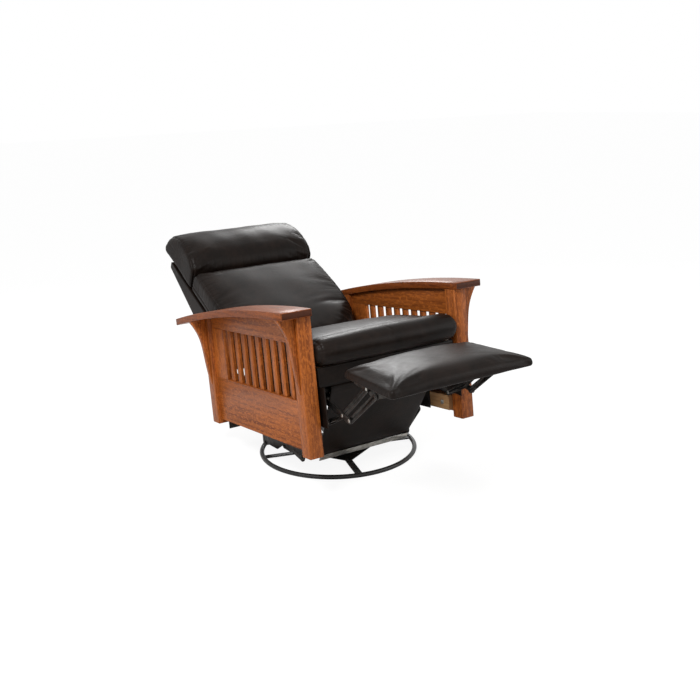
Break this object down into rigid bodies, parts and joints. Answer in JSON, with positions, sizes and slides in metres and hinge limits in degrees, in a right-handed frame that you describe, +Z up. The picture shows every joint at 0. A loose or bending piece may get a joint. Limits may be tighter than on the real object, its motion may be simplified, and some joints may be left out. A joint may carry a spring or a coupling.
{
  "type": "swivel glider recliner",
  "caption": "Slatted oak armchair with leather cushions that swivels, glides and reclines, with a folding padded footrest.",
  "frame": {"origin": "on the floor at the swivel axis, in the middle of the flat under the round base", "axes": "+Z up, +Y to the back of the chair, +X to the sitter's left"},
  "size_m": [0.83, 1.6854, 0.7812],
  "materials": {
    "oak": "satin",
    "bare_wood": "matte",
    "leather": "satin",
    "webbing": "matte",
    "ring_steel": "satin",
    "mechanism_steel": "satin",
    "bright_steel": "satin"
  },
  "bodies": {
    "base": {"base_ring": "ring_steel", "base_cross": "ring_steel", "base_plate": "ring_steel", "swivel_lower_race": "bright_steel", "swivel_stud": "bright_steel"},
    "turntable": {"swivel_balls": "bright_steel", "swivel_upper_race": "bright_steel", "turntable_plate": "mechanism_steel", "turntable_channel": "mechanism_steel", "left_glide_stand": "mechanism_steel", "right_glide_stand": "mechanism_steel"},
    "front_links": {"front_glide_links": "mechanism_steel"},
    "rear_links": {"rear_glide_links": "mechanism_steel"},
    "carriage": {"left_side_rail": "mechanism_steel", "right_side_rail": "mechanism_steel", "left_glide_hanger": "mechanism_steel", "right_glide_hanger": "mechanism_steel", "carriage_cross_tubes": "mechanism_steel", "seat_tracks": "mechanism_steel", "left_cleat": "bare_wood", "right_cleat": "bare_wood", "cleat_bolts": "bright_steel", "left_front_leg": "oak", "right_front_leg": "oak", "left_rear_leg": "oak", "right_rear_leg": "oak", "left_bottom_rail": "oak", "right_bottom_rail": "oak", "left_top_rail": "oak", "right_top_rail": "oak", "left_slats": "oak", "right_slats": "oak", "left_arm": "oak", "right_arm": "oak", "front_corbels": "oak", "rear_corbels": "oak", "side_stiles": "oak"},
    "seat": {"seat_box": "bare_wood", "seat_webbing": "webbing", "seat_cushion": "leather", "kick_panel": "leather", "kick_panel_bar": "bright_steel", "left_side_plate": "mechanism_steel", "right_side_plate": "mechanism_steel"},
    "back": {"back_cushion": "leather", "head_cushion": "leather", "back_shell": "leather", "back_frame": "bare_wood", "back_hinge_straps": "mechanism_steel"},
    "rear_bars": {"left_rear_bar": "mechanism_steel", "right_rear_bar": "mechanism_steel", "footrest_torque_tube": "mechanism_steel"},
    "front_bars": {"left_front_bar": "mechanism_steel", "right_front_bar": "mechanism_steel"},
    "lower_bars": {"left_lower_bar": "mechanism_steel", "right_lower_bar": "mechanism_steel"},
    "control_links": {"control_bars": "mechanism_steel"},
    "footrest": {"footrest_pad": "leather", "footrest_board": "bare_wood", "footrest_brackets": "mechanism_steel"}
  },
  "joints": [
    {"name": "swivel", "type": "hinge", "parent": "base", "child": "turntable", "pos_m": [0, 0, 0.02], "axis": [0, 0, 1], "continuous": true},
    {"name": "glide", "type": "hinge", "parent": "turntable", "child": "front_links", "pos_m": [0, -0.21538, 0.17646], "axis": [-1, 0, 0], "range_deg": [0, 30]},
    {"name": "glide_rear", "type": "hinge", "parent": "turntable", "child": "rear_links", "pos_m": [0, 0.13942, 0.17646], "axis": [-1, 0, 0], "range_deg": [0, 26.9]},
    {"name": "glide_carriage", "type": "hinge", "parent": "front_links", "child": "carriage", "pos_m": [0, -0.12757, 0.06743], "axis": [1, 0, 0], "range_deg": [0, 37.1]},
    {"name": "seat_slide", "type": "slide", "parent": "carriage", "child": "seat", "axis": [0, 0.988, -0.1547], "range_m": [0, 0.06]},
    {"name": "recline", "type": "hinge", "parent": "seat", "child": "back", "pos_m": [0, 0.22877, 0.37342], "axis": [1, 0, 0], "range_deg": [0, 40]},
    {"name": "footrest_fold", "type": "hinge", "parent": "seat", "child": "rear_bars", "pos_m": [0, -0.29028, 0.36071], "axis": [1, 0, 0], "range_deg": [0, 92.87]},
    {"name": "front_bar_pivot", "type": "hinge", "parent": "rear_bars", "child": "front_bars", "pos_m": [0, -0.45529, 0.32046], "axis": [1, 0, 0], "range_deg": [-96.1, 0]},
    {"name": "lower_bar_pivot", "type": "hinge", "parent": "rear_bars", "child": "lower_bars", "pos_m": [0, -0.49621, 0.31363], "axis": [1, 0, 0], "range_deg": [-98, 0]},
    {"name": "footrest_pivot", "type": "hinge", "parent": "lower_bars", "child": "footrest", "pos_m": [0, -0.6398, 0.43201], "axis": [1, 0, 0], "range_deg": [0, 90]},
    {"name": "control_link_pivot", "type": "hinge", "parent": "seat", "child": "control_links", "pos_m": [0, -0.19842, 0.3109], "axis": [1, 0, 0], "range_deg": [0, 91.5]}
  ],
  "couplings": [
    {"joint": "glide_rear", "follows": "glide", "ratio": 0.8963},
    {"joint": "glide_carriage", "follows": "glide", "ratio": 1.2357},
    {"joint": "seat_slide", "follows": "recline", "m_per_rad": 0.0859},
    {"joint": "front_bar_pivot", "follows": "footrest_fold", "ratio": -1.0346},
    {"joint": "lower_bar_pivot", "follows": "footrest_fold", "ratio": -1.0547},
    {"joint": "footrest_pivot", "follows": "footrest_fold", "ratio": 0.96858},
    {"joint": "control_link_pivot", "follows": "footrest_fold", "ratio": 0.98483}
  ]
}
